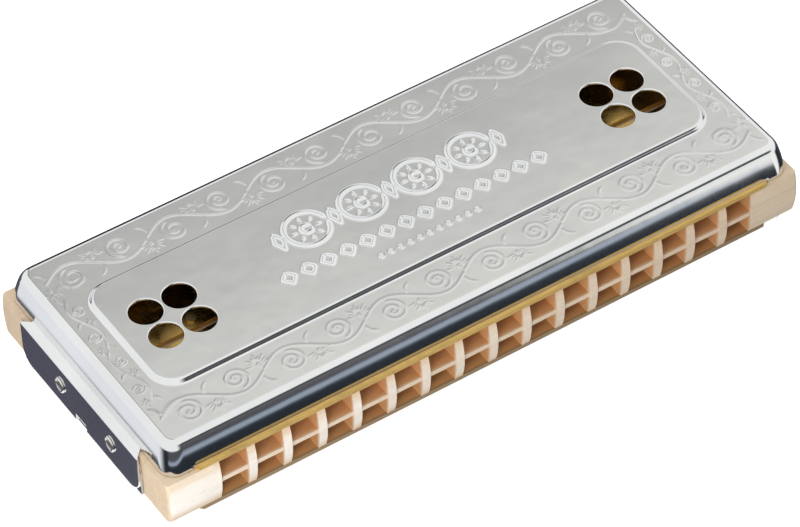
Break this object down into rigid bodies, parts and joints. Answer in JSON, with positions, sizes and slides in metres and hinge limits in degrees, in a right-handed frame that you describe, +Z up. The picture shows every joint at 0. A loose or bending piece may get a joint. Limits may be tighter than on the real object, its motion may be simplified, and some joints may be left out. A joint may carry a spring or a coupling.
{
  "type": "harmonica",
  "caption": "Double-sided tremolo harmonica: wooden comb with double holes on both edges, brass reed plates with vibrating reeds, and two embossed chromed covers with round sound holes.",
  "frame": {"origin": "middle of the bottom cover's flat panel, which is the lowest face", "axes": "+X runs along the comb from the low notes to the high notes, -Y is the front mouthpiece, +Z is up out of the top cover"},
  "size_m": [0.1334, 0.056, 0.0232],
  "materials": {
    "comb_wood": "bare fine-grained pear or maple wood",
    "plate_brass": "rolled sheet brass, lightly scratched",
    "reed_brass": "filed brass",
    "cover_chrome": "polished plating with embossed scroll border",
    "nail_metal": "bright nail heads with a dull dished middle"
  },
  "bodies": {
    "harmonica_body": {"comb": "comb_wood", "front_top_plate": "plate_brass", "front_bottom_plate": "plate_brass", "back_top_plate": "plate_brass", "back_bottom_plate": "plate_brass", "reed_roots": "reed_brass", "reed_rivets": "reed_brass", "plate_nails": "reed_brass", "top_cover": "cover_chrome", "bottom_cover": "cover_chrome", "cover_nails": "nail_metal"},
    "front_upper_reed_01": {"front_upper_reed_01": "reed_brass"},
    "front_upper_reed_02": {"front_upper_reed_02": "reed_brass"},
    "front_upper_reed_03": {"front_upper_reed_03": "reed_brass"},
    "front_upper_reed_04": {"front_upper_reed_04": "reed_brass"},
    "front_upper_reed_05": {"front_upper_reed_05": "reed_brass"},
    "front_upper_reed_06": {"front_upper_reed_06": "reed_brass"},
    "front_upper_reed_07": {"front_upper_reed_07": "reed_brass"},
    "front_upper_reed_08": {"front_upper_reed_08": "reed_brass"},
    "front_upper_reed_09": {"front_upper_reed_09": "reed_brass"},
    "front_upper_reed_10": {"front_upper_reed_10": "reed_brass"},
    "front_upper_reed_11": {"front_upper_reed_11": "reed_brass"},
    "front_upper_reed_12": {"front_upper_reed_12": "reed_brass"},
    "front_upper_reed_13": {"front_upper_reed_13": "reed_brass"},
    "front_upper_reed_14": {"front_upper_reed_14": "reed_brass"},
    "front_upper_reed_15": {"front_upper_reed_15": "reed_brass"},
    "front_upper_reed_16": {"front_upper_reed_16": "reed_brass"},
    "back_upper_reeds_01_03": {"back_upper_reeds_01_03": "reed_brass"},
    "back_upper_reeds_02_04": {"back_upper_reeds_02_04": "reed_brass"},
    "back_upper_reeds_05_07": {"back_upper_reeds_05_07": "reed_brass"},
    "back_upper_reeds_06_08": {"back_upper_reeds_06_08": "reed_brass"},
    "back_upper_reeds_09_11": {"back_upper_reeds_09_11": "reed_brass"},
    "back_upper_reeds_10_12": {"back_upper_reeds_10_12": "reed_brass"},
    "back_upper_reeds_13_15": {"back_upper_reeds_13_15": "reed_brass"},
    "back_upper_reeds_14_16": {"back_upper_reeds_14_16": "reed_brass"},
    "front_lower_reed_01": {"front_lower_reed_01": "reed_brass"},
    "front_lower_reed_02": {"front_lower_reed_02": "reed_brass"},
    "front_lower_reed_03": {"front_lower_reed_03": "reed_brass"},
    "front_lower_reed_04": {"front_lower_reed_04": "reed_brass"},
    "front_lower_reed_05": {"front_lower_reed_05": "reed_brass"},
    "front_lower_reed_06": {"front_lower_reed_06": "reed_brass"},
    "front_lower_reed_07": {"front_lower_reed_07": "reed_brass"},
    "front_lower_reed_08": {"front_lower_reed_08": "reed_brass"},
    "front_lower_reed_09": {"front_lower_reed_09": "reed_brass"},
    "front_lower_reed_10": {"front_lower_reed_10": "reed_brass"},
    "front_lower_reed_11": {"front_lower_reed_11": "reed_brass"},
    "front_lower_reed_12": {"front_lower_reed_12": "reed_brass"},
    "front_lower_reed_13": {"front_lower_reed_13": "reed_brass"},
    "front_lower_reed_14": {"front_lower_reed_14": "reed_brass"},
    "front_lower_reed_15": {"front_lower_reed_15": "reed_brass"},
    "front_lower_reed_16": {"front_lower_reed_16": "reed_brass"},
    "back_lower_reeds_01_03": {"back_lower_reeds_01_03": "reed_brass"},
    "back_lower_reeds_02_04": {"back_lower_reeds_02_04": "reed_brass"},
    "back_lower_reeds_05_07": {"back_lower_reeds_05_07": "reed_brass"},
    "back_lower_reeds_06_08": {"back_lower_reeds_06_08": "reed_brass"},
    "back_lower_reeds_09_11": {"back_lower_reeds_09_11": "reed_brass"},
    "back_lower_reeds_10_12": {"back_lower_reeds_10_12": "reed_brass"},
    "back_lower_reeds_13_15": {"back_lower_reeds_13_15": "reed_brass"},
    "back_lower_reeds_14_16": {"back_lower_reeds_14_16": "reed_brass"}
  },
  "joints": [
    {"name": "front_upper_reed_01_flex", "type": "hinge", "parent": "harmonica_body", "child": "front_upper_reed_01", "pos_m": [-0.0525, -0.007, 0.01591], "axis": [1, 0, 0], "range_deg": [-4, 4], "stiffness_Nm_per_rad": 0.0004},
    {"name": "front_upper_reed_02_flex", "type": "hinge", "parent": "harmonica_body", "child": "front_upper_reed_02", "pos_m": [-0.0455, -0.0222, 0.01709], "axis": [1, 0, 0], "range_deg": [-4, 4], "stiffness_Nm_per_rad": 0.0004},
    {"name": "front_upper_reed_03_flex", "type": "hinge", "parent": "harmonica_body", "child": "front_upper_reed_03", "pos_m": [-0.0385, -0.007, 0.01591], "axis": [1, 0, 0], "range_deg": [-4, 4], "stiffness_Nm_per_rad": 0.0004},
    {"name": "front_upper_reed_04_flex", "type": "hinge", "parent": "harmonica_body", "child": "front_upper_reed_04", "pos_m": [-0.0315, -0.0222, 0.01709], "axis": [1, 0, 0], "range_deg": [-4, 4], "stiffness_Nm_per_rad": 0.0004},
    {"name": "front_upper_reed_05_flex", "type": "hinge", "parent": "harmonica_body", "child": "front_upper_reed_05", "pos_m": [-0.0245, -0.007, 0.01591], "axis": [1, 0, 0], "range_deg": [-4, 4], "stiffness_Nm_per_rad": 0.0004},
    {"name": "front_upper_reed_06_flex", "type": "hinge", "parent": "harmonica_body", "child": "front_upper_reed_06", "pos_m": [-0.0175, -0.0222, 0.01709], "axis": [1, 0, 0], "range_deg": [-4, 4], "stiffness_Nm_per_rad": 0.0004},
    {"name": "front_upper_reed_07_flex", "type": "hinge", "parent": "harmonica_body", "child": "front_upper_reed_07", "pos_m": [-0.0105, -0.007, 0.01591], "axis": [1, 0, 0], "range_deg": [-4, 4], "stiffness_Nm_per_rad": 0.0004},
    {"name": "front_upper_reed_08_flex", "type": "hinge", "parent": "harmonica_body", "child": "front_upper_reed_08", "pos_m": [-0.0035, -0.0222, 0.01709], "axis": [1, 0, 0], "range_deg": [-4, 4], "stiffness_Nm_per_rad": 0.0004},
    {"name": "front_upper_reed_09_flex", "type": "hinge", "parent": "harmonica_body", "child": "front_upper_reed_09", "pos_m": [0.0035, -0.007, 0.01591], "axis": [1, 0, 0], "range_deg": [-4, 4], "stiffness_Nm_per_rad": 0.0004},
    {"name": "front_upper_reed_10_flex", "type": "hinge", "parent": "harmonica_body", "child": "front_upper_reed_10", "pos_m": [0.0105, -0.0222, 0.01709], "axis": [1, 0, 0], "range_deg": [-4, 4], "stiffness_Nm_per_rad": 0.0004},
    {"name": "front_upper_reed_11_flex", "type": "hinge", "parent": "harmonica_body", "child": "front_upper_reed_11", "pos_m": [0.0175, -0.007, 0.01591], "axis": [1, 0, 0], "range_deg": [-4, 4], "stiffness_Nm_per_rad": 0.0004},
    {"name": "front_upper_reed_12_flex", "type": "hinge", "parent": "harmonica_body", "child": "front_upper_reed_12", "pos_m": [0.0245, -0.0222, 0.01709], "axis": [1, 0, 0], "range_deg": [-4, 4], "stiffness_Nm_per_rad": 0.0004},
    {"name": "front_upper_reed_13_flex", "type": "hinge", "parent": "harmonica_body", "child": "front_upper_reed_13", "pos_m": [0.0315, -0.007, 0.01591], "axis": [1, 0, 0], "range_deg": [-4, 4], "stiffness_Nm_per_rad": 0.0004},
    {"name": "front_upper_reed_14_flex", "type": "hinge", "parent": "harmonica_body", "child": "front_upper_reed_14", "pos_m": [0.0385, -0.0222, 0.01709], "axis": [1, 0, 0], "range_deg": [-4, 4], "stiffness_Nm_per_rad": 0.0004},
    {"name": "front_upper_reed_15_flex", "type": "hinge", "parent": "harmonica_body", "child": "front_upper_reed_15", "pos_m": [0.0455, -0.007, 0.01591], "axis": [1, 0, 0], "range_deg": [-4, 4], "stiffness_Nm_per_rad": 0.0004},
    {"name": "front_upper_reed_16_flex", "type": "hinge", "parent": "harmonica_body", "child": "front_upper_reed_16", "pos_m": [0.0525, -0.0222, 0.01709], "axis": [1, 0, 0], "range_deg": [-4, 4], "stiffness_Nm_per_rad": 0.0004},
    {"name": "back_upper_reeds_01_03_flex", "type": "hinge", "parent": "harmonica_body", "child": "back_upper_reeds_01_03", "pos_m": [-0.0455, 0.007, 0.01591], "axis": [1, 0, 0], "range_deg": [-4, 4], "stiffness_Nm_per_rad": 0.0004},
    {"name": "back_upper_reeds_02_04_flex", "type": "hinge", "parent": "harmonica_body", "child": "back_upper_reeds_02_04", "pos_m": [-0.0385, 0.0222, 0.01709], "axis": [1, 0, 0], "range_deg": [-4, 4], "stiffness_Nm_per_rad": 0.0004},
    {"name": "back_upper_reeds_05_07_flex", "type": "hinge", "parent": "harmonica_body", "child": "back_upper_reeds_05_07", "pos_m": [-0.0175, 0.007, 0.01591], "axis": [1, 0, 0], "range_deg": [-4, 4], "stiffness_Nm_per_rad": 0.0004},
    {"name": "back_upper_reeds_06_08_flex", "type": "hinge", "parent": "harmonica_body", "child": "back_upper_reeds_06_08", "pos_m": [-0.0105, 0.0222, 0.01709], "axis": [1, 0, 0], "range_deg": [-4, 4], "stiffness_Nm_per_rad": 0.0004},
    {"name": "back_upper_reeds_09_11_flex", "type": "hinge", "parent": "harmonica_body", "child": "back_upper_reeds_09_11", "pos_m": [0.0105, 0.007, 0.01591], "axis": [1, 0, 0], "range_deg": [-4, 4], "stiffness_Nm_per_rad": 0.0004},
    {"name": "back_upper_reeds_10_12_flex", "type": "hinge", "parent": "harmonica_body", "child": "back_upper_reeds_10_12", "pos_m": [0.0175, 0.0222, 0.01709], "axis": [1, 0, 0], "range_deg": [-4, 4], "stiffness_Nm_per_rad": 0.0004},
    {"name": "back_upper_reeds_13_15_flex", "type": "hinge", "parent": "harmonica_body", "child": "back_upper_reeds_13_15", "pos_m": [0.0385, 0.007, 0.01591], "axis": [1, 0, 0], "range_deg": [-4, 4], "stiffness_Nm_per_rad": 0.0004},
    {"name": "back_upper_reeds_14_16_flex", "type": "hinge", "parent": "harmonica_body", "child": "back_upper_reeds_14_16", "pos_m": [0.0455, 0.0222, 0.01709], "axis": [1, 0, 0], "range_deg": [-4, 4], "stiffness_Nm_per_rad": 0.0004},
    {"name": "front_lower_reed_01_flex", "type": "hinge", "parent": "harmonica_body", "child": "front_lower_reed_01", "pos_m": [-0.0525, -0.007, 0.00729], "axis": [1, 0, 0], "range_deg": [-4, 4], "stiffness_Nm_per_rad": 0.0004},
    {"name": "front_lower_reed_02_flex", "type": "hinge", "parent": "harmonica_body", "child": "front_lower_reed_02", "pos_m": [-0.0455, -0.0222, 0.00611], "axis": [1, 0, 0], "range_deg": [-4, 4], "stiffness_Nm_per_rad": 0.0004},
    {"name": "front_lower_reed_03_flex", "type": "hinge", "parent": "harmonica_body", "child": "front_lower_reed_03", "pos_m": [-0.0385, -0.007, 0.00729], "axis": [1, 0, 0], "range_deg": [-4, 4], "stiffness_Nm_per_rad": 0.0004},
    {"name": "front_lower_reed_04_flex", "type": "hinge", "parent": "harmonica_body", "child": "front_lower_reed_04", "pos_m": [-0.0315, -0.0222, 0.00611], "axis": [1, 0, 0], "range_deg": [-4, 4], "stiffness_Nm_per_rad": 0.0004},
    {"name": "front_lower_reed_05_flex", "type": "hinge", "parent": "harmonica_body", "child": "front_lower_reed_05", "pos_m": [-0.0245, -0.007, 0.00729], "axis": [1, 0, 0], "range_deg": [-4, 4], "stiffness_Nm_per_rad": 0.0004},
    {"name": "front_lower_reed_06_flex", "type": "hinge", "parent": "harmonica_body", "child": "front_lower_reed_06", "pos_m": [-0.0175, -0.0222, 0.00611], "axis": [1, 0, 0], "range_deg": [-4, 4], "stiffness_Nm_per_rad": 0.0004},
    {"name": "front_lower_reed_07_flex", "type": "hinge", "parent": "harmonica_body", "child": "front_lower_reed_07", "pos_m": [-0.0105, -0.007, 0.00729], "axis": [1, 0, 0], "range_deg": [-4, 4], "stiffness_Nm_per_rad": 0.0004},
    {"name": "front_lower_reed_08_flex", "type": "hinge", "parent": "harmonica_body", "child": "front_lower_reed_08", "pos_m": [-0.0035, -0.0222, 0.00611], "axis": [1, 0, 0], "range_deg": [-4, 4], "stiffness_Nm_per_rad": 0.0004},
    {"name": "front_lower_reed_09_flex", "type": "hinge", "parent": "harmonica_body", "child": "front_lower_reed_09", "pos_m": [0.0035, -0.007, 0.00729], "axis": [1, 0, 0], "range_deg": [-4, 4], "stiffness_Nm_per_rad": 0.0004},
    {"name": "front_lower_reed_10_flex", "type": "hinge", "parent": "harmonica_body", "child": "front_lower_reed_10", "pos_m": [0.0105, -0.0222, 0.00611], "axis": [1, 0, 0], "range_deg": [-4, 4], "stiffness_Nm_per_rad": 0.0004},
    {"name": "front_lower_reed_11_flex", "type": "hinge", "parent": "harmonica_body", "child": "front_lower_reed_11", "pos_m": [0.0175, -0.007, 0.00729], "axis": [1, 0, 0], "range_deg": [-4, 4], "stiffness_Nm_per_rad": 0.0004},
    {"name": "front_lower_reed_12_flex", "type": "hinge", "parent": "harmonica_body", "child": "front_lower_reed_12", "pos_m": [0.0245, -0.0222, 0.00611], "axis": [1, 0, 0], "range_deg": [-4, 4], "stiffness_Nm_per_rad": 0.0004},
    {"name": "front_lower_reed_13_flex", "type": "hinge", "parent": "harmonica_body", "child": "front_lower_reed_13", "pos_m": [0.0315, -0.007, 0.00729], "axis": [1, 0, 0], "range_deg": [-4, 4], "stiffness_Nm_per_rad": 0.0004},
    {"name": "front_lower_reed_14_flex", "type": "hinge", "parent": "harmonica_body", "child": "front_lower_reed_14", "pos_m": [0.0385, -0.0222, 0.00611], "axis": [1, 0, 0], "range_deg": [-4, 4], "stiffness_Nm_per_rad": 0.0004},
    {"name": "front_lower_reed_15_flex", "type": "hinge", "parent": "harmonica_body", "child": "front_lower_reed_15", "pos_m": [0.0455, -0.007, 0.00729], "axis": [1, 0, 0], "range_deg": [-4, 4], "stiffness_Nm_per_rad": 0.0004},
    {"name": "front_lower_reed_16_flex", "type": "hinge", "parent": "harmonica_body", "child": "front_lower_reed_16", "pos_m": [0.0525, -0.0222, 0.00611], "axis": [1, 0, 0], "range_deg": [-4, 4], "stiffness_Nm_per_rad": 0.0004},
    {"name": "back_lower_reeds_01_03_flex", "type": "hinge", "parent": "harmonica_body", "child": "back_lower_reeds_01_03", "pos_m": [-0.0455, 0.007, 0.00729], "axis": [1, 0, 0], "range_deg": [-4, 4], "stiffness_Nm_per_rad": 0.0004},
    {"name": "back_lower_reeds_02_04_flex", "type": "hinge", "parent": "harmonica_body", "child": "back_lower_reeds_02_04", "pos_m": [-0.0385, 0.0222, 0.00611], "axis": [1, 0, 0], "range_deg": [-4, 4], "stiffness_Nm_per_rad": 0.0004},
    {"name": "back_lower_reeds_05_07_flex", "type": "hinge", "parent": "harmonica_body", "child": "back_lower_reeds_05_07", "pos_m": [-0.0175, 0.007, 0.00729], "axis": [1, 0, 0], "range_deg": [-4, 4], "stiffness_Nm_per_rad": 0.0004},
    {"name": "back_lower_reeds_06_08_flex", "type": "hinge", "parent": "harmonica_body", "child": "back_lower_reeds_06_08", "pos_m": [-0.0105, 0.0222, 0.00611], "axis": [1, 0, 0], "range_deg": [-4, 4], "stiffness_Nm_per_rad": 0.0004},
    {"name": "back_lower_reeds_09_11_flex", "type": "hinge", "parent": "harmonica_body", "child": "back_lower_reeds_09_11", "pos_m": [0.0105, 0.007, 0.00729], "axis": [1, 0, 0], "range_deg": [-4, 4], "stiffness_Nm_per_rad": 0.0004},
    {"name": "back_lower_reeds_10_12_flex", "type": "hinge", "parent": "harmonica_body", "child": "back_lower_reeds_10_12", "pos_m": [0.0175, 0.0222, 0.00611], "axis": [1, 0, 0], "range_deg": [-4, 4], "stiffness_Nm_per_rad": 0.0004},
    {"name": "back_lower_reeds_13_15_flex", "type": "hinge", "parent": "harmonica_body", "child": "back_lower_reeds_13_15", "pos_m": [0.0385, 0.007, 0.00729], "axis": [1, 0, 0], "range_deg": [-4, 4], "stiffness_Nm_per_rad": 0.0004},
    {"name": "back_lower_reeds_14_16_flex", "type": "hinge", "parent": "harmonica_body", "child": "back_lower_reeds_14_16", "pos_m": [0.0455, 0.0222, 0.00611], "axis": [1, 0, 0], "range_deg": [-4, 4], "stiffness_Nm_per_rad": 0.0004}
  ],
  "couplings": [
    {"joint": "front_lower_reed_01_flex", "follows": "front_upper_reed_01_flex", "ratio": -1},
    {"joint": "front_lower_reed_02_flex", "follows": "front_upper_reed_02_flex", "ratio": -1},
    {"joint": "front_lower_reed_03_flex", "follows": "front_upper_reed_03_flex", "ratio": -1},
    {"joint": "front_lower_reed_04_flex", "follows": "front_upper_reed_04_flex", "ratio": -1},
    {"joint": "front_lower_reed_05_flex", "follows": "front_upper_reed_05_flex", "ratio": -1},
    {"joint": "front_lower_reed_06_flex", "follows": "front_upper_reed_06_flex", "ratio": -1},
    {"joint": "front_lower_reed_07_flex", "follows": "front_upper_reed_07_flex", "ratio": -1},
    {"joint": "front_lower_reed_08_flex", "follows": "front_upper_reed_08_flex", "ratio": -1},
    {"joint": "front_lower_reed_09_flex", "follows": "front_upper_reed_09_flex", "ratio": -1},
    {"joint": "front_lower_reed_10_flex", "follows": "front_upper_reed_10_flex", "ratio": -1},
    {"joint": "front_lower_reed_11_flex", "follows": "front_upper_reed_11_flex", "ratio": -1},
    {"joint": "front_lower_reed_12_flex", "follows": "front_upper_reed_12_flex", "ratio": -1},
    {"joint": "front_lower_reed_13_flex", "follows": "front_upper_reed_13_flex", "ratio": -1},
    {"joint": "front_lower_reed_14_flex", "follows": "front_upper_reed_14_flex", "ratio": -1},
    {"joint": "front_lower_reed_15_flex", "follows": "front_upper_reed_15_flex", "ratio": -1},
    {"joint": "front_lower_reed_16_flex", "follows": "front_upper_reed_16_flex", "ratio": -1},
    {"joint": "back_lower_reeds_01_03_flex", "follows": "back_upper_reeds_01_03_flex", "ratio": -1},
    {"joint": "back_lower_reeds_02_04_flex", "follows": "back_upper_reeds_02_04_flex", "ratio": -1},
    {"joint": "back_lower_reeds_05_07_flex", "follows": "back_upper_reeds_05_07_flex", "ratio": -1},
    {"joint": "back_lower_reeds_06_08_flex", "follows": "back_upper_reeds_06_08_flex", "ratio": -1},
    {"joint": "back_lower_reeds_09_11_flex", "follows": "back_upper_reeds_09_11_flex", "ratio": -1},
    {"joint": "back_lower_reeds_10_12_flex", "follows": "back_upper_reeds_10_12_flex", "ratio": -1},
    {"joint": "back_lower_reeds_13_15_flex", "follows": "back_upper_reeds_13_15_flex", "ratio": -1},
    {"joint": "back_lower_reeds_14_16_flex", "follows": "back_upper_reeds_14_16_flex", "ratio": -1}
  ]
}
